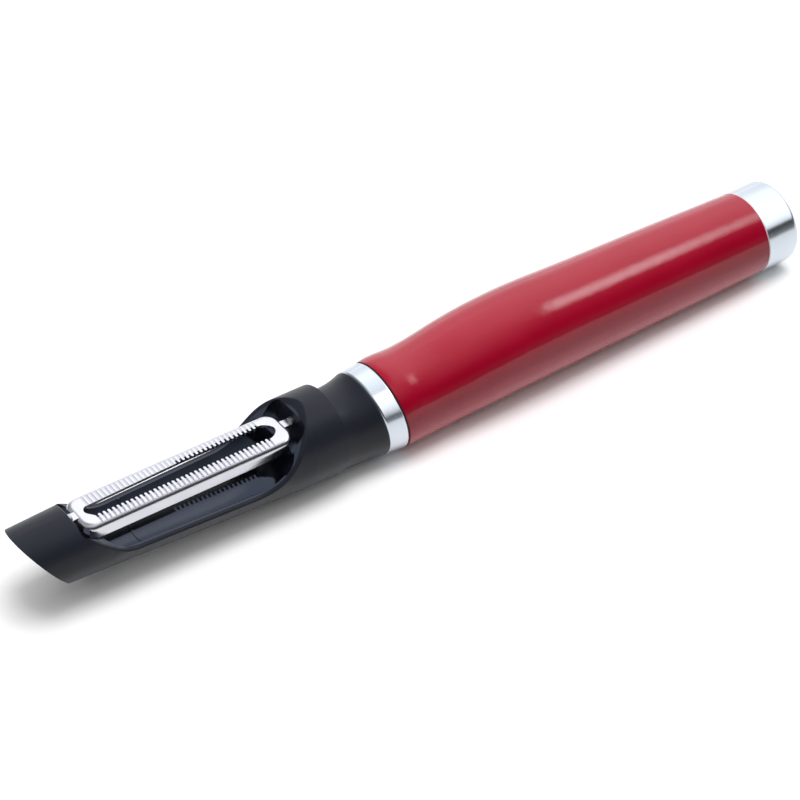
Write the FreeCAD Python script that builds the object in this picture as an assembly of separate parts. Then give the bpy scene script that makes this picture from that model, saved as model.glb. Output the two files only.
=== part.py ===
import FreeCAD, Part
import math
import os

# Hand-held swivel peeler, lying on its back with the blade up. Millimetres.
# +X runs from the corer tip to the handle's end cap, +Z is up, and the tool is
# symmetric about the plane y = 0. The floor is z = 0. Lengths below are counted
# from the front; the finished pieces are moved back so that x = 0 is half-way.

V = FreeCAD.Vector
Y_AXIS = V(0, 1, 0)
BIG = 60.0
FIT_GAP = 0.02               # gap between pieces that are pressed or moulded together
MIDDLE_X = 105.06            # half-way between the beak and the end of the cap

# ---- head -------------------------------------------------------------------
# The head is laid out along its own tube axis: x from the beak, z from the axis.
HEAD_TILT = 2.1              # degrees that the head points up towards the tip
HEAD_AXIS_Z = 14.78          # height of the tube axis at the beak
TIP_RADIUS = 7.63            # outer radius of the tube at x = 0
TUBE_TAPER = 0.0416          # growth of the outer radius per mm of length
HOOD_FRONT_X = 69.0          # the cone ends here and the hood goes on straight
HOOD_REAR_X = 77.6           # the crease behind the hood
WALL = 1.5                   # wall of the trough
CUT_BEAK = (-0.6, 8.2)       # slanted cut of the corer: x and z at the beak...
CUT_BEND = (8.9, -4.5)       # ...where it starts to curve...
CUT_HEEL_X = 12.9            # ...and where it runs out into the underside
CORER_WALL = 1.3
CORER_DEPTH = 9.2

# ---- window -----------------------------------------------------------------
WINDOW_FRONT = [(13.0, 8.3), (15.5, 4.4), (19.8, 0.9), (26.5, -1.5)]
WINDOW_REAR = [(54.0, -1.8), (61.3, 0.2), (65.0, 3.6), (68.7, 8.1), (73.2, 10.9)]
RIM_ROUND = 0.45

# ---- trough -----------------------------------------------------------------
TROUGH_FRONT_X = 18.8
LEDGE_Z = 0.6                # top of the ledge at the front that stops the blade's swing
TROUGH_RIB_X = 29.3
TROUGH_RIB_WIDTH = 0.5
TROUGH_RIB_HEIGHT = 0.25
TROUGH_STEP_X = 62.0
TROUGH_STEP = 0.4
TROUGH_REAR_X = 66.4
TROUGH_END_ROUND = 3.5

# ---- blade ------------------------------------------------------------------
BLADE_TOP_Z = 6.45           # upper face, above the tube axis
SHEET = 0.7
PIVOT_Z = BLADE_TOP_Z - SHEET / 2
BLADE_FRONT_X = 14.4
BLADE_REAR_X = 67.9
BLADE_HALF_WIDTH = 5.4
BLADE_CORNER = 3.4
BLADE_FLANGE = 3.35          # height of the folded sides, upper face included
FOLD_ROUND = 1.5
SLOT_FRONT_X = 17.2
SLOT_REAR_X = 65.0
TOOTH_PITCH = 1.13
TOOTH_GAPS = 39              # gaps in each row
TOOTH_MID_X = 40.4
TOOTH_TIP_Y = 2.1
TOOTH_GAP_Y = 3.0
TOOTH_GAP_WIDTH = 0.46
PLAIN_EDGE_GAPS = 20         # on the far side the front of the row has a plain edge in front of the grooves
PLAIN_EDGE_Y = 1.3           # where the plain edge starts, at the slot's front end
GROOVE_DEPTH = 0.045
GROOVE_RADIUS = 1.3

# ---- pivot ------------------------------------------------------------------
PIN_RADIUS = 1.15
PIN_CLEARANCE = 0.05
PIN_LENGTH_IN_BORE = 2.4
BORE_LENGTH = 2.7
TONGUE_WIDTH = 2.3
POCKET_FRONT_X = 13.3
POCKET_REAR_X = 69.6
POCKET_RADIUS = 6.5
POCKET_ROUND = 1.6
TONGUE_OVERLAP = 0.9         # how far each tongue sits in the fork of its pin
TONGUE_INTO_BORE = 0.2       # the tongues reach this far past the pocket walls

# ---- neck, ferrule, handle and cap -------------------------------------------
FERRULE_TILT = 8.0           # degrees that the ferrule leans back
SEAL_WIDTH = 0.3             # of the joint in front of the ferrule and of the one at the cap
REAR_SEAL_WIDTH = 0.2
SEAL_INSET = 0.15            # the seals sit this far below the ferrule's surface
FERRULE_FRONT = (88.55, 10.75, 10.42)    # x, height, radius
FERRULE_REAR = (93.5, 10.65, 10.9)
FERRULE_EDGE_ROUND = 0.5
NECK_MIDDLE = (83.2, 10.5, 9.6)
NECK_MIDDLE_TILT = 3.0
NECK_DROP = 0.55             # the neck starts this far below the tube axis
NECK_RADIUS = 9.95
SPIGOT_RADIUS = 8.8
# handle outline behind the rear seal: x, height of centre, radius, lean in degrees
HANDLE_LINE = [
    (93.7, 10.65, 10.90, 8.0),
    (107.0, 11.12, 10.98, 6.5),
    (118.0, 12.02, 11.58, 4.0),
    (130.0, 12.38, 11.76, 0.5),
    (152.0, 11.72, 11.32, -1.2),
    (176.0, 10.98, 10.88, -1.0),
    (200.2, 10.15, 10.36, 0.0),
]
HANDLE_RINGS = 17            # evenly spaced sections that the outline is drawn through
CAP_X = 200.5
CAP_END_X = 210.0
CAP_Z = 10.15
CAP_RADIUS = 10.36
CAP_WALL = 1.0
CAP_EDGE_ROUND = 1.5
SLEEVE_WALL = 1.6
CORE_BORE_RADIUS = 5.0
CORE_BORE_RISE = 0.6         # of the bore above the cap axis
CORE_BORE_X = 146.0
PLUG_RADIUS = 7.5
PLUG_X = 186.0
PLUG_COLLAR_RADIUS = CAP_RADIUS - CAP_WALL - FIT_GAP
TANG_X = (80.5, 138.0)
TANG_Z = 11.0
TANG_HEIGHT = 7.0
TANG_THICKNESS = 2.2
TANG_WINDOWS = (84.5, 126.0)
TANG_WINDOW_RADIUS = 1.6


def tube_radius(x):
    return TIP_RADIUS + TUBE_TAPER * min(x, HOOD_FRONT_X)


def to_row(shape):
    """Moves a shape from the head's own layout to the row frame."""
    placed = shape.copy()
    placed.Placement = FreeCAD.Placement(V(0, 0, HEAD_AXIS_Z), FreeCAD.Rotation(Y_AXIS, HEAD_TILT))
    return placed


def head_point(x, z):
    tilt = math.radians(HEAD_TILT)
    return (x * math.cos(tilt) + z * math.sin(tilt), HEAD_AXIS_Z - x * math.sin(tilt) + z * math.cos(tilt))


def ring(x, z, radius, lean):
    """Circle round the tool's axis, its plane leaning back by so many degrees."""
    a = math.radians(lean)
    return Part.Wire([Part.Circle(V(x, 0, z), V(math.cos(a), 0, math.sin(a)), radius).toShape()])


def cone_x(x0, x1, r0, r1):
    if abs(r0 - r1) < 1e-9:
        return Part.makeCylinder(r0, x1 - x0, V(x0, 0, 0), V(1, 0, 0))
    return Part.makeCone(r0, r1, x1 - x0, V(x0, 0, 0), V(1, 0, 0))


def side_prism(edges, half_width):
    """Prism across the tool from a closed chain of edges in the plane y = -half_width."""
    face = Part.Face(Part.Wire(edges))
    return face.extrude(V(0, 2 * half_width, 0))


def spline(points, start=None, end=None):
    curve = Part.BSplineCurve()
    if start is None:
        curve.interpolate(points)
    else:
        curve.interpolate(points, InitialTangent=start, FinalTangent=end)
    return curve.toShape()


def below_floor():
    return Part.makeBox(300, 100, 20, V(-20, -50, -20))


# ---- head shell ---------------------------------------------------------------
def corer_cut():
    """Everything in front of the slanted cut, rounded at the heel."""
    y = -20.0
    beak = V(CUT_BEAK[0], y, CUT_BEAK[1])
    bend = V(CUT_BEND[0], y, CUT_BEND[1])
    heel = V(CUT_HEEL_X, y, -tube_radius(CUT_HEEL_X) - 0.1)
    slope = (bend - beak).normalize()
    start = beak - slope * 6
    curve = spline([bend, heel], slope * 5, V(1, 0, -0.35) * 4)
    edges = [
        Part.makeLine(start, bend),
        curve,
        Part.makeLine(heel, V(heel.x, y, -20)),
        Part.makeLine(V(heel.x, y, -20), V(-20, y, -20)),
        Part.makeLine(V(-20, y, -20), V(-20, y, start.z)),
        Part.makeLine(V(-20, y, start.z), start),
    ]
    return side_prism(edges, 20)


def window_cut():
    """The opening over the blade: front curve, level side rims, rising rear curve."""
    y = -20.0
    front = [V(x, y, z) for x, z in WINDOW_FRONT]
    rear = [V(x, y, z) for x, z in WINDOW_REAR]
    top = 16.0
    level = (rear[0] - front[-1])
    edges = [
        Part.makeLine(V(front[0].x, y, top), front[0]),
        spline(front, V(0.25, 0, -1) * 8, level.normalize() * 8),
        Part.makeLine(front[-1], rear[0]),
        spline(rear, level * 8, V(1, 0, 0.25) * 6),
        Part.makeLine(rear[-1], V(rear[-1].x, y, top)),
        Part.makeLine(V(rear[-1].x, y, top), V(front[0].x, y, top)),
    ]
    return side_prism(edges, 20)


def rounded_rim(body):
    """Rounds the outer edge of the window, from one side of the hood to the other."""
    rim = []
    for edge in body.Edges:
        middle = edge.valueAt((edge.FirstParameter + edge.LastParameter) / 2)
        over = math.hypot(middle.y, middle.z) - tube_radius(middle.x)
        along_window = WINDOW_FRONT[0][0] < middle.x < WINDOW_REAR[-1][0]
        if along_window and abs(over) < 0.02 and abs(middle.y) > 1:
            rim.append(edge)
    return body.makeFillet(RIM_ROUND, rim)


def trough_cut():
    """Inside of the trough: rounded front end, a thin cross rib, and a step near the rear."""
    def inner(x):
        return tube_radius(x) - WALL
    rib_end = TROUGH_RIB_X + TROUGH_RIB_WIDTH
    front = cone_x(TROUGH_FRONT_X, TROUGH_RIB_X, inner(TROUGH_FRONT_X), inner(TROUGH_RIB_X))
    front = round_end(front, TROUGH_FRONT_X)
    rib = cone_x(TROUGH_RIB_X, rib_end, inner(TROUGH_RIB_X) - TROUGH_RIB_HEIGHT,
                 inner(rib_end) - TROUGH_RIB_HEIGHT)
    main = cone_x(rib_end, TROUGH_STEP_X, inner(rib_end), inner(TROUGH_STEP_X))
    rear = cone_x(TROUGH_STEP_X, TROUGH_REAR_X, inner(TROUGH_STEP_X) + TROUGH_STEP,
                  inner(TROUGH_REAR_X) + TROUGH_STEP)
    rear = round_end(rear, TROUGH_REAR_X)
    return front.fuse([rib, main, rear])


def round_end(solid, x):
    """Rounds the circular end edge of a turned solid at x."""
    radius = TROUGH_END_ROUND
    ends = [e for e in solid.Edges if abs(e.BoundBox.XMin - x) < 1e-6 and abs(e.BoundBox.XMax - x) < 1e-6]
    return solid.makeFillet(radius, ends)


def blade_pocket():
    """Round pocket about the pivot axis in which the blade swings, with a flat ledge at the front."""
    pocket = Part.makeCylinder(POCKET_RADIUS, POCKET_REAR_X - POCKET_FRONT_X,
                               V(POCKET_FRONT_X, 0, PIVOT_Z), V(1, 0, 0))
    ends = [e for e in pocket.Edges if abs(e.BoundBox.XMax - e.BoundBox.XMin) < 1e-6]
    pocket = pocket.makeFillet(POCKET_ROUND, ends)
    ledge = Part.makeBox(TROUGH_FRONT_X - POCKET_FRONT_X + 5, 30, 20,
                         V(POCKET_FRONT_X - 5, -15, LEDGE_Z - 20))
    return pocket.cut(ledge)


def pivot_bores():
    radius = PIN_RADIUS + PIN_CLEARANCE
    front = Part.makeCylinder(radius, BORE_LENGTH + 1,
                              V(POCKET_FRONT_X - BORE_LENGTH, 0, PIVOT_Z), V(1, 0, 0))
    rear = Part.makeCylinder(radius, BORE_LENGTH + 1, V(POCKET_REAR_X - 1, 0, PIVOT_Z), V(1, 0, 0))
    return [front, rear]


def tang_slot(grow):
    """Space taken by the tang; its windows stay filled by the plastic moulded round it."""
    x0, x1 = TANG_X
    slot = Part.makeBox(x1 - x0 + 2 * grow, TANG_THICKNESS + 2 * grow, TANG_HEIGHT + 2 * grow,
                        V(x0 - grow, -TANG_THICKNESS / 2 - grow, TANG_Z - TANG_HEIGHT / 2 - grow))
    plugs = [Part.makeCylinder(TANG_WINDOW_RADIUS - grow, 10, V(x, -5, TANG_Z), Y_AXIS) for x in TANG_WINDOWS]
    return slot.cut(Part.makeCompound(plugs))


def spigot(radius):
    """Round spigot of the head that carries the seals and the ferrule."""
    x0, z0, _ = FERRULE_FRONT
    x1, z1, _ = FERRULE_REAR
    return Part.makeLoft([ring(x0 - SEAL_WIDTH - 2, z0, radius, FERRULE_TILT),
                          ring(x1 + REAR_SEAL_WIDTH, z1, radius, FERRULE_TILT)], True, True)


def neck():
    x0, z0 = head_point(HOOD_REAR_X - 3.0, -NECK_DROP)
    xm, zm, rm = NECK_MIDDLE
    x1, z1, r1 = FERRULE_FRONT
    return Part.makeLoft([ring(x0, z0, NECK_RADIUS, -HEAD_TILT),
                          ring(xm, zm, rm, NECK_MIDDLE_TILT),
                          ring(x1 - SEAL_WIDTH, z1, r1 - 0.05, FERRULE_TILT)], True, False)


def head_shell():
    tube = cone_x(-2.0, HOOD_FRONT_X, tube_radius(-2.0), tube_radius(HOOD_FRONT_X))
    hood = cone_x(HOOD_FRONT_X, HOOD_REAR_X, tube_radius(HOOD_FRONT_X), tube_radius(HOOD_FRONT_X))
    body = tube.fuse(hood).removeSplitter()
    body = body.cut(corer_cut())
    hollow = cone_x(-4.0, CORER_DEPTH, tube_radius(-4.0) - CORER_WALL, tube_radius(CORER_DEPTH) - CORER_WALL)
    body = body.cut(hollow)
    body = rounded_rim(body.cut(window_cut()))
    body = body.cut(trough_cut().fuse(blade_pocket()))
    body = body.cut(Part.makeCompound(pivot_bores()))
    body = to_row(body).fuse([neck(), spigot(SPIGOT_RADIUS)])
    return body.cut(tang_slot(FIT_GAP)).removeSplitter()


# ---- blade ----------------------------------------------------------------------
def rounded_plate(x0, x1, half_width, corner, z0, z1):
    plate = Part.makeBox(x1 - x0, 2 * half_width, z1 - z0, V(x0, -half_width, z0))
    upright = [e for e in plate.Edges if abs(e.BoundBox.ZLength - (z1 - z0)) < 1e-6]
    return plate.makeFillet(corner, upright)


def channel():
    """Folded sheet: flat top, sides folded down, sides fading out round the corners."""
    bottom = BLADE_TOP_Z - BLADE_FLANGE
    outer = rounded_plate(BLADE_FRONT_X, BLADE_REAR_X, BLADE_HALF_WIDTH, BLADE_CORNER, bottom, BLADE_TOP_Z)
    rim = [e for e in outer.Edges if e.BoundBox.ZMin > BLADE_TOP_Z - 1e-6]
    outer = outer.makeFillet(FOLD_ROUND, rim)
    inner = rounded_plate(BLADE_FRONT_X - 5, BLADE_REAR_X + 5, BLADE_HALF_WIDTH - SHEET, BLADE_CORNER - SHEET,
                          bottom - 1, BLADE_TOP_Z - SHEET)
    under_rim = [e for e in inner.Edges if e.BoundBox.ZMin > BLADE_TOP_Z - SHEET - 1e-6]
    inner = inner.makeFillet(FOLD_ROUND - SHEET, under_rim)
    y = -BIG / 2
    lift = BLADE_FLANGE - SHEET
    ends = []
    for x_end, way in ((BLADE_FRONT_X, 1), (BLADE_REAR_X, -1)):
        corner = V(x_end - way * 1.0, y, BLADE_TOP_Z - SHEET)
        a = V(x_end, y, BLADE_TOP_Z - SHEET)
        b = V(x_end + way * lift, y, bottom)
        mid = V(x_end + way * lift * 0.29, y, BLADE_TOP_Z - SHEET - lift * 0.71)
        ends.append(side_prism([
            Part.makeLine(corner, a),
            Part.Arc(a, mid, b).toShape(),
            Part.makeLine(b, V(b.x, y, bottom - 1)),
            Part.makeLine(V(b.x, y, bottom - 1), V(corner.x, y, bottom - 1)),
            Part.makeLine(V(corner.x, y, bottom - 1), corner),
        ], BIG / 2))
    return outer.cut(inner).cut(Part.makeCompound(ends))


def gap_x(k):
    """Middle of tooth gap number k, counted from the front."""
    return TOOTH_MID_X + (k - (TOOTH_GAPS - 1) / 2) * TOOTH_PITCH


def toothed_edge(side, first):
    """Edges of a toothed side of the slot, from gap number first to the rear end."""
    z = BLADE_TOP_Z - 2.0
    tip = TOOTH_TIP_Y * side
    half_gap = TOOTH_GAP_WIDTH / 2
    half_tooth = (TOOTH_PITCH - TOOTH_GAP_WIDTH) / 2
    gap_flat = (TOOTH_GAP_Y - half_gap) * side
    tooth_flat = (TOOTH_TIP_Y + half_tooth) * side
    edges = []
    for k in range(first, TOOTH_GAPS):
        x = gap_x(k)
        a = V(x - half_gap, tooth_flat, z)
        b = V(x - half_gap, gap_flat, z)
        c = V(x + half_gap, gap_flat, z)
        d = V(x + half_gap, tooth_flat, z)
        edges.append(Part.makeLine(a, b))
        edges.append(Part.Arc(b, V(x, TOOTH_GAP_Y * side, z), c).toShape())
        edges.append(Part.makeLine(c, d))
        if k < TOOTH_GAPS - 1:
            after = V(x + TOOTH_PITCH - half_gap, tooth_flat, z)
            edges.append(Part.Arc(d, V(x + TOOTH_PITCH / 2, tip, z), after).toShape())
    return edges


def slot():
    """The peel slot: toothed sides joined by round ends, the far side plain at the front."""
    z = BLADE_TOP_Z - 2.0
    half_gap = TOOTH_GAP_WIDTH / 2
    half_tooth = (TOOTH_PITCH - TOOTH_GAP_WIDTH) / 2
    y = TOOTH_TIP_Y + half_tooth
    front = gap_x(0) - half_gap
    rear = gap_x(TOOTH_GAPS - 1) + half_gap
    bow = TOOTH_TIP_Y * 0.86
    plain_start = V(front, PLAIN_EDGE_Y, z)
    plain_end = V(gap_x(PLAIN_EDGE_GAPS) - half_gap, TOOTH_TIP_Y, z)
    corner = V(plain_end.x, y, z)
    front_end = spline([V(front, -y, z), V(SLOT_FRONT_X + 0.45, -bow * 0.62, z), V(SLOT_FRONT_X, -0.25, z),
                        V(SLOT_FRONT_X + 0.45, PLAIN_EDGE_Y * 0.72, z), plain_start])
    rear_end = spline([V(rear, -y, z), V(SLOT_REAR_X - 0.6, -bow * 0.72, z), V(SLOT_REAR_X, 0, z),
                       V(SLOT_REAR_X - 0.6, bow * 0.72, z), V(rear, y, z)])
    plain = [Part.makeLine(plain_start, plain_end), Part.makeLine(plain_end, corner)]
    sides = toothed_edge(-1, 0) + toothed_edge(1, PLAIN_EDGE_GAPS)
    wire = Part.Wire(Part.__sortEdges__(sides + plain + [front_end, rear_end]))
    return Part.Face(wire).extrude(V(0, 0, 4))


def grooves():
    """Shallow ground grooves across the upper face, one behind every tooth gap."""
    z = BLADE_TOP_Z + GROOVE_RADIUS - GROOVE_DEPTH
    return [Part.makeCylinder(GROOVE_RADIUS, 14, V(gap_x(k), -7, z), Y_AXIS) for k in range(TOOTH_GAPS)]


def tongues():
    """Flat tongues at the blade's ends that sit in the forked pins."""
    z = PIVOT_Z - SHEET / 2
    front_x = POCKET_FRONT_X - TONGUE_INTO_BORE
    rear_x = POCKET_REAR_X + TONGUE_INTO_BORE
    side = -TONGUE_WIDTH / 2
    front = Part.makeBox(BLADE_FRONT_X + 1 - front_x, TONGUE_WIDTH, SHEET, V(front_x, side, z))
    rear = Part.makeBox(rear_x - BLADE_REAR_X + 1, TONGUE_WIDTH, SHEET, V(BLADE_REAR_X - 1, side, z))
    return [front, rear]


def blade():
    sheet = channel().cut(slot())
    sheet = sheet.cut(Part.makeCompound(grooves()))
    envelope = Part.makeCylinder(PIN_RADIUS, BIG * 2, V(-BIG / 2, 0, PIVOT_Z), V(1, 0, 0))
    trimmed = [tongue.common(envelope) for tongue in tongues()]
    return to_row(sheet.fuse(trimmed).removeSplitter())


def pivot_pin(front):
    """Round pin with a fork that holds the blade's tongue."""
    if front:
        x0 = POCKET_FRONT_X - PIN_LENGTH_IN_BORE
        x1 = POCKET_FRONT_X - TONGUE_INTO_BORE + TONGUE_OVERLAP
        fork = Part.makeBox(TONGUE_OVERLAP + 1, 10, SHEET + 2 * FIT_GAP,
                            V(x1 - TONGUE_OVERLAP - FIT_GAP, -5, PIVOT_Z - SHEET / 2 - FIT_GAP))
    else:
        x0 = POCKET_REAR_X + TONGUE_INTO_BORE - TONGUE_OVERLAP
        x1 = POCKET_REAR_X + PIN_LENGTH_IN_BORE
        fork = Part.makeBox(TONGUE_OVERLAP + 1, 10, SHEET + 2 * FIT_GAP,
                            V(x0 - 1 + FIT_GAP, -5, PIVOT_Z - SHEET / 2 - FIT_GAP))
    pin = Part.makeCylinder(PIN_RADIUS, x1 - x0, V(x0, 0, PIVOT_Z), V(1, 0, 0))
    return to_row(pin.cut(fork))


# ---- ferrule and seals --------------------------------------------------------------
def seal(x, width, z, radius):
    """Thin ring filling the joint in front of or behind the ferrule."""
    outer = Part.makeLoft([ring(x, z, radius, FERRULE_TILT),
                           ring(x + width, z, radius, FERRULE_TILT)], True, True)
    return outer.cut(spigot(SPIGOT_RADIUS + FIT_GAP)).cut(below_floor())


def ferrule():
    x0, z0, r0 = FERRULE_FRONT
    x1, z1, r1 = FERRULE_REAR
    band = Part.makeLoft([ring(x0, z0, r0, FERRULE_TILT), ring(x1, z1, r1, FERRULE_TILT)], True, True)
    edges = [e for e in band.Edges if len(e.Vertexes) < 2 or e.Closed]
    band = band.makeFillet(FERRULE_EDGE_ROUND, edges)
    return band.cut(spigot(SPIGOT_RADIUS + FIT_GAP)).cut(below_floor())


# ---- handle ---------------------------------------------------------------------------
def slopes(xs, ys):
    """Slopes for a cubic through the points that doesn't overshoot between them."""
    steps = [(ys[i + 1] - ys[i]) / (xs[i + 1] - xs[i]) for i in range(len(xs) - 1)]
    inner = [0 if a * b <= 0 else 2 * a * b / (a + b) for a, b in zip(steps, steps[1:])]
    return [steps[0]] + inner + [steps[-1]]


def along(column, x):
    """Value of one column of the handle outline at x."""
    xs = [row[0] for row in HANDLE_LINE]
    ys = [row[column] for row in HANDLE_LINE]
    m = slopes(xs, ys)
    i = max(k for k in range(len(xs) - 1) if x >= xs[k] - 1e-9)
    span = xs[i + 1] - xs[i]
    t = (x - xs[i]) / span
    rise = (3 - 2 * t) * t * t
    return ((1 - rise) * ys[i] + rise * ys[i + 1]
            + span * t * (1 - t) * ((1 - t) * m[i] - t * m[i + 1]))


def handle_loft(inset):
    x0 = HANDLE_LINE[0][0]
    x1 = HANDLE_LINE[-1][0]
    rings = []
    for k in range(HANDLE_RINGS):
        x = x0 + (x1 - x0) * k / (HANDLE_RINGS - 1)
        rings.append(ring(x, along(1, x), along(2, x) - inset, along(3, x)))
    return Part.makeLoft(rings, True, False)


def handle_sleeve():
    return handle_loft(0).cut(handle_loft(SLEEVE_WALL)).cut(below_floor())


def handle_core():
    core = handle_loft(SLEEVE_WALL + FIT_GAP)
    bore = Part.makeCylinder(CORE_BORE_RADIUS, PLUG_X - CORE_BORE_X,
                             V(CORE_BORE_X, 0, CAP_Z + CORE_BORE_RISE), V(1, 0, 0))
    socket = Part.makeCylinder(PLUG_RADIUS + FIT_GAP, CAP_X - PLUG_X, V(PLUG_X, 0, CAP_Z), V(1, 0, 0))
    return core.cut(bore.fuse(socket)).cut(tang_slot(FIT_GAP))


def tang():
    return tang_slot(0)


def end_cap():
    """Drawn cup with a rounded rear edge."""
    cup = Part.makeCylinder(CAP_RADIUS, CAP_END_X - CAP_X, V(CAP_X, 0, CAP_Z), V(1, 0, 0))
    rear = [e for e in cup.Edges if e.BoundBox.XMin > CAP_END_X - 1e-6]
    cup = cup.makeFillet(CAP_EDGE_ROUND, rear)
    inside = Part.makeCylinder(CAP_RADIUS - CAP_WALL, CAP_END_X - CAP_WALL - CAP_X,
                               V(CAP_X, 0, CAP_Z), V(1, 0, 0))
    return cup.cut(inside).cut(below_floor())


def cap_plug():
    """Stepped plug: the thin end is pressed into the core, the collar fills the cap."""
    stem = Part.makeCylinder(PLUG_RADIUS, CAP_X - PLUG_X - FIT_GAP, V(PLUG_X + FIT_GAP, 0, CAP_Z), V(1, 0, 0))
    collar_end = CAP_END_X - CAP_WALL - FIT_GAP
    collar = Part.makeCylinder(PLUG_COLLAR_RADIUS, collar_end - CAP_X, V(CAP_X, 0, CAP_Z), V(1, 0, 0))
    return stem.fuse(collar).removeSplitter()


def cap_seal():
    outer = Part.makeCylinder(CAP_RADIUS + 0.03, SEAL_WIDTH, V(CAP_X - SEAL_WIDTH, 0, CAP_Z), V(1, 0, 0))
    inner = Part.makeCylinder(PLUG_RADIUS + FIT_GAP, SEAL_WIDTH + 2,
                              V(CAP_X - SEAL_WIDTH - 1, 0, CAP_Z), V(1, 0, 0))
    return outer.cut(inner).cut(below_floor())


def build():
    x0, z0, r0 = FERRULE_FRONT
    x1, z1, r1 = FERRULE_REAR
    pieces = {
        "head_shell": head_shell(),
        "blade": blade(),
        "front_pivot_pin": pivot_pin(True),
        "rear_pivot_pin": pivot_pin(False),
        "front_seal": seal(x0 - SEAL_WIDTH, SEAL_WIDTH, z0, r0 - SEAL_INSET),
        "ferrule": ferrule(),
        "rear_seal": seal(x1, REAR_SEAL_WIDTH, z1, r1 - SEAL_INSET),
        "handle_sleeve": handle_sleeve(),
        "handle_core": handle_core(),
        "tang": tang(),
        "end_cap": end_cap(),
        "cap_plug": cap_plug(),
        "cap_seal": cap_seal(),
    }
    for piece in pieces.values():
        piece.translate(V(-MIDDLE_X, 0, 0))
    return pieces


os.makedirs("parts", exist_ok=True)
for name, shape in build().items():
    box = shape.BoundBox
    solids = len(shape.Solids)
    print(f"{name:16s} solids {solids} valid {shape.isValid()} volume {shape.Volume:9.1f} "
          f"x {box.XMin:6.2f}..{box.XMax:6.2f} y {box.YMin:6.2f}..{box.YMax:6.2f} "
          f"z {box.ZMin:6.2f}..{box.ZMax:6.2f}")
    shape.exportStep(f"parts/{name}.step")
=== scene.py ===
import math

import bpy
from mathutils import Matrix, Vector

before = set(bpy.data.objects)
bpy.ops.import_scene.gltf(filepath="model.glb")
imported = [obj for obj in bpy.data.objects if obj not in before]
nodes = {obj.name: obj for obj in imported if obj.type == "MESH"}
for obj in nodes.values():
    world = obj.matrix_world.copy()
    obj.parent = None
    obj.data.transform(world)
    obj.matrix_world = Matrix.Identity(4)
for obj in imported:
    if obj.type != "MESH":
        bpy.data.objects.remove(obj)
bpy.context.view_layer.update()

# The tool lies along +X with its corer tip at the left; the floor is z = 0.


# ---- node helpers ------------------------------------------------------------
NOISE_LOW = 0.3                      # a noise pattern lies mostly between these two values
NOISE_HIGH = 0.7


def new_material(name):
    material = bpy.data.materials.new(name)
    material.use_nodes = True
    tree = material.node_tree
    tree.nodes.clear()
    output = tree.nodes.new("ShaderNodeOutputMaterial")
    shader = tree.nodes.new("ShaderNodeBsdfPrincipled")
    tree.links.new(shader.outputs["BSDF"], output.inputs["Surface"])
    return material, tree, shader


def coordinates(tree, scale=(1, 1, 1)):
    """Object coordinates in metres, scaled."""
    source = tree.nodes.new("ShaderNodeTexCoord")
    mapping = tree.nodes.new("ShaderNodeMapping")
    mapping.inputs["Scale"].default_value = scale
    tree.links.new(source.outputs["Object"], mapping.inputs["Vector"])
    return mapping.outputs["Vector"]


def noise(tree, vector, scale, detail=4.0, roughness=0.55):
    node = tree.nodes.new("ShaderNodeTexNoise")
    node.inputs["Scale"].default_value = scale
    node.inputs["Detail"].default_value = detail
    node.inputs["Roughness"].default_value = roughness
    tree.links.new(vector, node.inputs["Vector"])
    return node.outputs["Fac"]


def spread(tree, value, low, high):
    """Maps a noise pattern to the range low..high."""
    node = tree.nodes.new("ShaderNodeMapRange")
    node.inputs["From Min"].default_value = NOISE_LOW
    node.inputs["From Max"].default_value = NOISE_HIGH
    node.inputs["To Min"].default_value = low
    node.inputs["To Max"].default_value = high
    tree.links.new(value, node.inputs["Value"])
    return node.outputs["Result"]


def tint(tree, value, dark, light):
    """Mixes two colours by a noise pattern."""
    ramp = tree.nodes.new("ShaderNodeValToRGB")
    ramp.color_ramp.elements[0].position = NOISE_LOW
    ramp.color_ramp.elements[0].color = (*dark, 1)
    ramp.color_ramp.elements[1].position = NOISE_HIGH
    ramp.color_ramp.elements[1].color = (*light, 1)
    tree.links.new(value, ramp.inputs["Fac"])
    return ramp.outputs["Color"]


def bump(tree, shader, height, strength, distance):
    node = tree.nodes.new("ShaderNodeBump")
    node.inputs["Strength"].default_value = strength
    node.inputs["Distance"].default_value = distance
    tree.links.new(height, node.inputs["Height"])
    tree.links.new(node.outputs["Normal"], shader.inputs["Normal"])


# ---- materials -----------------------------------------------------------------
HEAD_TILT = math.radians(2.1)        # the head points up by this much
HEAD_AXIS_START = Vector((-0.10506, 0.0, 0.01478))   # tube axis at the beak
TUBE_RADIUS = 0.00763                # outer radius there, and its growth per metre
TUBE_TAPER = 0.0416
TROUGH_FRONT = 0.0132                # window's length along the tube
TROUGH_REAR = 0.0745
LIP = 0.0009                         # the satin rim reaches this far in from the outside


def head_coordinates(tree):
    """Object coordinates laid along the head's tube axis, x from the beak."""
    source = tree.nodes.new("ShaderNodeTexCoord")
    shift = tree.nodes.new("ShaderNodeVectorMath")
    shift.operation = "SUBTRACT"
    shift.inputs[1].default_value = HEAD_AXIS_START
    turn = tree.nodes.new("ShaderNodeVectorRotate")
    turn.rotation_type = "Y_AXIS"
    turn.inputs["Angle"].default_value = -HEAD_TILT
    tree.links.new(source.outputs["Object"], shift.inputs[0])
    tree.links.new(shift.outputs["Vector"], turn.inputs["Vector"])
    split = tree.nodes.new("ShaderNodeSeparateXYZ")
    tree.links.new(turn.outputs["Vector"], split.inputs["Vector"])
    return split


def maths(tree, operation, a, b=None):
    """One sum; a and b are numbers or sockets."""
    node = tree.nodes.new("ShaderNodeMath")
    node.operation = operation
    for socket, value in zip(node.inputs, (a, b)):
        if value is None:
            continue
        if isinstance(value, (int, float)):
            socket.default_value = value
        else:
            tree.links.new(value, socket)
    return node.outputs["Value"]


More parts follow.
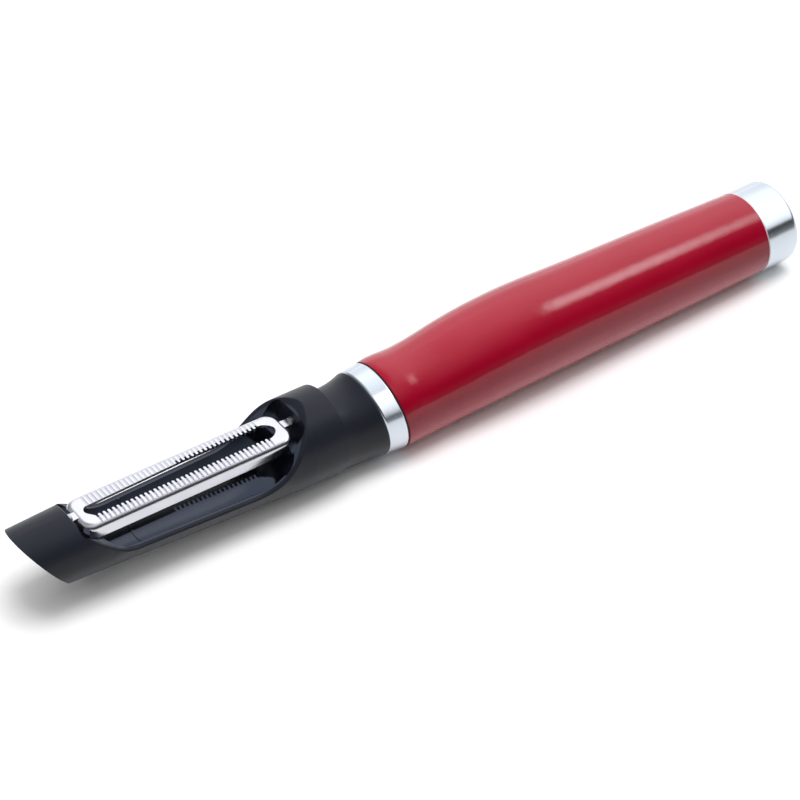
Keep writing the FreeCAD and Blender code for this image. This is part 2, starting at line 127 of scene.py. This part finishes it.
def step(tree, value, low, high):
    """0 below low, 1 above high, smooth between."""
    node = tree.nodes.new("ShaderNodeMapRange")
    node.interpolation_type = "SMOOTHSTEP"
    node.inputs["From Min"].default_value = low
    node.inputs["From Max"].default_value = high
    tree.links.new(value, node.inputs["Value"])
    return node.outputs["Result"]


def inside_trough(tree):
    """1 on the moulded surfaces inside the head, 0 on its outside."""
    split = head_coordinates(tree)
    y2 = maths(tree, "MULTIPLY", split.outputs["Y"], split.outputs["Y"])
    z2 = maths(tree, "MULTIPLY", split.outputs["Z"], split.outputs["Z"])
    radius = maths(tree, "SQRT", maths(tree, "ADD", y2, z2))
    outside = maths(tree, "ADD", maths(tree, "MULTIPLY", split.outputs["X"], TUBE_TAPER), TUBE_RADIUS)
    depth = maths(tree, "SUBTRACT", outside, radius)
    deep = step(tree, depth, LIP, LIP * 1.25)
    after = step(tree, split.outputs["X"], TROUGH_FRONT, TROUGH_FRONT + 0.0005)
    before = step(tree, split.outputs["X"], TROUGH_REAR, TROUGH_REAR + 0.0005)
    return maths(tree, "MULTIPLY", deep, maths(tree, "SUBTRACT", after, before))


def blend(tree, factor, a, b):
    """Number a where factor is 0, b where it is 1."""
    node = tree.nodes.new("ShaderNodeMix")
    node.data_type = "FLOAT"
    tree.links.new(factor, node.inputs["Factor"])
    for socket, value in ((node.inputs["A"], a), (node.inputs["B"], b)):
        if isinstance(value, (int, float)):
            socket.default_value = value
        else:
            tree.links.new(value, socket)
    return node.outputs["Result"]


def blend_colour(tree, factor, a, b):
    """Colour a where factor is 0, b where it is 1."""
    node = tree.nodes.new("ShaderNodeMix")
    node.data_type = "RGBA"
    tree.links.new(factor, node.inputs["Factor"])
    for socket, value in zip((s for s in node.inputs if s.type == "RGBA"), (a, b)):
        tree.links.new(value, socket)
    return next(s for s in node.outputs if s.type == "RGBA")


def black_plastic():
    material, tree, shader = new_material("head satin black")
    fine = noise(tree, coordinates(tree), 2600.0, 3.0)
    broad = noise(tree, coordinates(tree), 60.0, 2.0)
    inside = inside_trough(tree)
    outer = tint(tree, broad, (0.0095, 0.0105, 0.0165), (0.0115, 0.0130, 0.0195))
    # inside the trough the same plastic is painted lighter: painted light standing in for the light that
    # falls in through the slot
    painted_lit_trough = tint(tree, broad, (0.030, 0.036, 0.052), (0.036, 0.043, 0.061))
    tree.links.new(blend_colour(tree, inside, outer, painted_lit_trough), shader.inputs["Base Color"])
    satin = spread(tree, fine, 0.33, 0.42)
    gloss = spread(tree, broad, 0.20, 0.26)
    tree.links.new(blend(tree, inside, satin, gloss), shader.inputs["Roughness"])
    tree.links.new(blend(tree, inside, 0.22, 0.18), shader.inputs["Specular IOR Level"])
    bump(tree, shader, fine, 0.12, 0.00004)
    return material


def red_gloss():
    material, tree, shader = new_material("handle gloss red")
    broad = noise(tree, coordinates(tree), 45.0, 2.0)
    fine = noise(tree, coordinates(tree), 380.0, 2.0)
    red = tint(tree, broad, (0.290, 0.0018, 0.017), (0.320, 0.0030, 0.021))
    tree.links.new(red, shader.inputs["Base Color"])
    tree.links.new(spread(tree, fine, 0.09, 0.13), shader.inputs["Roughness"])
    shader.inputs["Specular IOR Level"].default_value = 0.40
    bump(tree, shader, fine, 0.02, 0.00005)
    return material


def satin_metal():
    material, tree, shader = new_material("satin metal")
    streaks = noise(tree, coordinates(tree, (2600, 60, 60)), 1.0, 3.0)
    broad = noise(tree, coordinates(tree), 90.0, 2.0)
    tree.links.new(tint(tree, broad, (0.55, 0.60, 0.66), (0.60, 0.65, 0.71)), shader.inputs["Base Color"])
    tree.links.new(spread(tree, streaks, 0.17, 0.20), shader.inputs["Roughness"])
    shader.inputs["Metallic"].default_value = 1.0
    bump(tree, shader, streaks, 0.02, 0.00001)
    return material


PITCH = 0.00113                      # of the blade's teeth and of the ground grooves behind them
TOOTH_MIDDLE = 0.0404                # middle of the toothed rows, counted from the beak
FIRST_GROOVE = TOOTH_MIDDLE - 19 * PITCH
LAST_GROOVE = TOOTH_MIDDLE + 19 * PITCH
GROOVE_PHASE = 40.5 * PITCH          # puts a whole number of turns plus a half on each groove's middle
GROOVE_REACH = 0.0047                # how far from the slot's centre line the grooves run
BAR_ROUND = 0.0009                   # the bars end in rounds, so the grooves widen towards the fold
BLADE_TOP = 0.00645                  # upper face, above the tube axis


def ground_grooves(tree):
    """Mask that is 1 in the ground grooves across the blade's upper face; and the sideways place."""
    split = head_coordinates(tree)
    x, y, z = (split.outputs[axis] for axis in "XYZ")
    turns = maths(tree, "DIVIDE", maths(tree, "SUBTRACT", x, FIRST_GROOVE - GROOVE_PHASE), PITCH)
    off = maths(tree, "ABSOLUTE", maths(tree, "SUBTRACT", maths(tree, "FRACT", turns), 0.5))
    groove = maths(tree, "SUBTRACT", 1.0, step(tree, off, 0.10, 0.24))
    half = PITCH / 2
    length = maths(tree, "SUBTRACT", step(tree, x, FIRST_GROOVE - half, FIRST_GROOVE - half * 0.9),
                   step(tree, x, LAST_GROOVE + half * 0.9, LAST_GROOVE + half))
    side = maths(tree, "ABSOLUTE", y)
    reach = maths(tree, "SUBTRACT", GROOVE_REACH, maths(tree, "MULTIPLY", off, BAR_ROUND))
    width = maths(tree, "SUBTRACT", 1.0, step(tree, maths(tree, "SUBTRACT", side, reach), 0.0, 0.00015))
    top = step(tree, z, BLADE_TOP - 0.0006, BLADE_TOP - 0.0005)
    field = maths(tree, "MULTIPLY", width, top)
    mask = maths(tree, "MULTIPLY", maths(tree, "MULTIPLY", groove, length), field)
    return mask, y


def blade_steel():
    material, tree, shader = new_material("blade steel")
    streaks = noise(tree, coordinates(tree, (40, 900, 900)), 1.0, 3.0)
    broad = noise(tree, coordinates(tree), 120.0, 2.0)
    mask, y = ground_grooves(tree)
    # the ground grooves are painted darker than the bars: painted shade in the grooves, stronger on the
    # near side (y below 0) than on the far side
    bright = tint(tree, broad, (0.57, 0.57, 0.62), (0.62, 0.62, 0.66))
    painted_groove_shade = tint(tree, broad, (0.24, 0.24, 0.28), (0.28, 0.28, 0.32))
    painted_shade_share = blend(tree, step(tree, y, -0.001, 0.001), 0.85, 0.30)
    tree.links.new(blend_colour(tree, maths(tree, "MULTIPLY", mask, painted_shade_share), bright, painted_groove_shade),
                   shader.inputs["Base Color"])
    tree.links.new(spread(tree, streaks, 0.17, 0.23), shader.inputs["Roughness"])
    shader.inputs["Metallic"].default_value = 1.0
    height = maths(tree, "ADD", maths(tree, "MULTIPLY", streaks, 0.2), maths(tree, "SUBTRACT", 1.0, mask))
    bump(tree, shader, height, 0.35, 0.00002)
    return material


def plain_steel(name, colour, rough):
    material, tree, shader = new_material(name)
    fine = noise(tree, coordinates(tree), 1500.0, 3.0)
    dark = tuple(c * 0.85 for c in colour)
    tree.links.new(tint(tree, fine, dark, colour), shader.inputs["Base Color"])
    tree.links.new(spread(tree, fine, rough, rough + 0.1), shader.inputs["Roughness"])
    shader.inputs["Metallic"].default_value = 1.0
    bump(tree, shader, fine, 0.05, 0.00002)
    return material


def plain_plastic(name, dark, light, rough):
    material, tree, shader = new_material(name)
    fine = noise(tree, coordinates(tree), 1800.0, 3.0)
    broad = noise(tree, coordinates(tree), 150.0, 2.0)
    tree.links.new(tint(tree, broad, dark, light), shader.inputs["Base Color"])
    tree.links.new(spread(tree, fine, rough, rough + 0.12), shader.inputs["Roughness"])
    bump(tree, shader, fine, 0.1, 0.00003)
    return material


steel = blade_steel()
metal = satin_metal()
pins = plain_steel("pin steel", (0.55, 0.55, 0.57), 0.28)
tang_metal = plain_steel("tang steel", (0.42, 0.42, 0.43), 0.42)
gasket = plain_plastic("seal black", (0.010, 0.010, 0.012), (0.016, 0.016, 0.018), 0.55)
pale_gasket = plain_plastic("seal pale", (0.55, 0.46, 0.47), (0.62, 0.54, 0.55), 0.45)
core = plain_plastic("core plastic", (0.035, 0.035, 0.038), (0.05, 0.05, 0.054), 0.5)
looks = {
    "head_shell": black_plastic(),
    "blade": steel,
    "front_pivot_pin": pins,
    "rear_pivot_pin": pins,
    "front_seal": gasket,
    "ferrule": metal,
    "rear_seal": gasket,
    "handle_sleeve": red_gloss(),
    "handle_core": core,
    "tang": tang_metal,
    "end_cap": metal,
    "cap_plug": core,
    "cap_seal": pale_gasket,
}
for name, look in looks.items():
    mesh = nodes[name].data
    mesh.materials.clear()
    mesh.materials.append(look)


# ---- floor, light and camera ------------------------------------------------------
FLOOR_HALF = 3.0


def make_floor():
    half = FLOOR_HALF
    mesh = bpy.data.meshes.new("floor")
    corners = [(-half, -half, 0), (half, -half, 0), (half, half, 0), (-half, half, 0)]
    mesh.from_pydata(corners, [], [(0, 1, 2, 3)])
    floor = bpy.data.objects.new("floor", mesh)
    bpy.context.scene.collection.objects.link(floor)
    material, tree, shader = new_material("floor white")
    broad = noise(tree, coordinates(tree), 3.0, 2.0)
    tree.links.new(tint(tree, broad, (0.88, 0.88, 0.885), (0.90, 0.90, 0.90)), shader.inputs["Base Color"])
    shader.inputs["Roughness"].default_value = 0.6
    mesh.materials.append(material)
    return floor


def lamp(name, place, aim, size, power, lit, mirrored=False):
    """Area lamp aimed at a point. It can light some pieces only; it is seen in them only if mirrored."""
    light = bpy.data.lights.new(name, "AREA")
    light.shape = "RECTANGLE"
    light.size, light.size_y = size
    light.energy = power
    body = bpy.data.objects.new(name, light)
    body.location = place
    body.rotation_euler = (Vector(aim) - Vector(place)).to_track_quat("-Z", "Y").to_euler()
    body.visible_glossy = mirrored
    body.visible_camera = False
    bpy.context.scene.collection.objects.link(body)
    group = bpy.data.collections.new("lit_by_" + name)
    for piece in lit:
        group.objects.link(piece)
    body.light_linking.receiver_collection = group


RAMP_TOP = 4.0                       # the curve node holds levels as shares of this
# radiance of the studio against the height of the direction (0 level, 1 overhead)
FRONT_STOPS = [(0.0, 0.24), (0.12, 0.20), (0.20, 0.10), (0.30, 0.03), (0.50, 0.08), (0.66, 0.30),
               (0.80, 0.6), (1.0, 1.0)]
BACK_STOPS = [(0.0, 1.5), (0.35, 1.25), (0.7, 1.7), (1.0, 1.4)]
LEFT_LEVEL = 0.30                    # share of the back's brightness towards the tip's side
STRIP_LEVEL = 7.0                    # long soft box over the handle, seen as its bright ridge
# its soft edges, as ramps: sideways y / z of the direction on the near and the far side, lengthways x
STRIP_NEAR = (-0.72, -0.34)
STRIP_FAR = (-0.30, 0.06)
STRIP_START = (0.535, 0.57)
STRIP_END = (0.59, 0.71)
LIGHT_TINT = (("Red", 0.985), ("Green", 0.995), ("Blue", 1.02))


def ramp(tree, value, stops):
    """Grey level along a row of (position, level) stops."""
    node = tree.nodes.new("ShaderNodeFloatCurve")
    curve = node.mapping.curves[0]
    for place, level in stops[1:-1]:
        curve.points.new(place, level / RAMP_TOP)
    curve.points[0].location = (stops[0][0], stops[0][1] / RAMP_TOP)
    curve.points[-1].location = (stops[-1][0], stops[-1][1] / RAMP_TOP)
    node.mapping.update()
    tree.links.new(value, node.inputs["Value"])
    return maths(tree, "MULTIPLY", node.outputs["Value"], RAMP_TOP)


def studio_world():
    """White studio: bright behind the tool and overhead, dark on the viewer's side."""
    world = bpy.data.worlds.new("studio")
    world.use_nodes = True
    tree = world.node_tree
    tree.nodes.clear()
    output = tree.nodes.new("ShaderNodeOutputWorld")
    background = tree.nodes.new("ShaderNodeBackground")
    source = tree.nodes.new("ShaderNodeTexCoord")
    split = tree.nodes.new("ShaderNodeSeparateXYZ")
    tree.links.new(source.outputs["Generated"], split.inputs["Vector"])
    x, y, z = (split.outputs[axis] for axis in "XYZ")
    front = ramp(tree, z, FRONT_STOPS)
    right = blend(tree, step(tree, x, 0.0, 0.3), LEFT_LEVEL, 1.0)
    back = maths(tree, "MULTIPLY", ramp(tree, z, BACK_STOPS), right)
    level = blend(tree, step(tree, y, -0.45, 0.15), front, back)
    height = maths(tree, "MAXIMUM", z, 0.05)
    across = maths(tree, "DIVIDE", y, height)
    strip = maths(tree, "SUBTRACT", step(tree, across, *STRIP_NEAR), step(tree, across, *STRIP_FAR))
    length = maths(tree, "SUBTRACT", step(tree, x, *STRIP_START), step(tree, x, *STRIP_END))
    strip = maths(tree, "MULTIPLY", strip, length)
    level = maths(tree, "ADD", level, maths(tree, "MULTIPLY", strip, STRIP_LEVEL))
    colour = tree.nodes.new("ShaderNodeCombineColor")
    for channel, gain in LIGHT_TINT:
        tree.links.new(maths(tree, "MULTIPLY", level, gain), colour.inputs[channel])
    tree.links.new(colour.outputs["Color"], background.inputs["Color"])
    tree.links.new(background.outputs["Background"], output.inputs["Surface"])
    world.cycles_visibility.diffuse = False
    bpy.context.scene.world = world


CAMERA_AZIMUTH = math.radians(35.85)
CAMERA_ELEVATION = math.radians(41.65)
CAMERA_DISTANCE = 0.5981
CAMERA_AIM = Vector((-0.00626, 0.0, 0.0094))
FOCAL_MM = 119.7


def make_camera():
    back = Vector((-math.sin(CAMERA_AZIMUTH) * math.cos(CAMERA_ELEVATION),
                   -math.cos(CAMERA_AZIMUTH) * math.cos(CAMERA_ELEVATION),
                   math.sin(CAMERA_ELEVATION)))
    data = bpy.data.cameras.new("camera")
    data.lens = FOCAL_MM
    data.sensor_width = 36.0
    data.clip_start = 0.01
    camera = bpy.data.objects.new("camera", data)
    camera.location = CAMERA_AIM + back * CAMERA_DISTANCE
    camera.rotation_euler = back.to_track_quat("Z", "Y").to_euler()
    bpy.context.scene.collection.objects.link(camera)
    bpy.context.scene.camera = camera


HEAD_NODES = ["head_shell", "blade", "front_pivot_pin", "rear_pivot_pin"]
HEAD_PIECES = [nodes[name] for name in HEAD_NODES]
HANDLE_PIECES = [piece for name, piece in nodes.items() if name not in HEAD_NODES]

floor = make_floor()
studio_world()
# small lamps model the tool and throw the teeth's shadow into the trough; wide ones light the floor;
# the cards are seen as the bright upper parts of the ferrule and the cap
lamp("handle_key", (0.0, 0.13, 1.0), (0, 0, 0), (0.04, 0.04), 15.0, lit=HANDLE_PIECES)
lamp("head_key", (0.0, -0.01, 1.0), (0, 0, 0), (0.02, 0.02), 14.0, lit=HEAD_PIECES)
lamp("top", (0.05, -0.28, 2.0), (0, 0, 0), (0.9, 0.9), 24.0, lit=[floor])
lamp("sky", (0.0, -0.5, 1.5), (0, -0.5, 0), (3.0, 3.0), 43.0, lit=[floor])
lamp("ferrule_card", (0.204, -0.310, 0.336), (-0.014, 0, 0.011), (0.34, 0.5), 0.78,
     lit=[nodes["ferrule"]], mirrored=True)
lamp("cap_card", (0.385, -0.210, 0.360), (0.100, 0, 0.010), (0.30, 0.42), 0.60,
     lit=[nodes["end_cap"]], mirrored=True)
make_camera()
bpy.context.scene.view_settings.view_transform = "Standard"
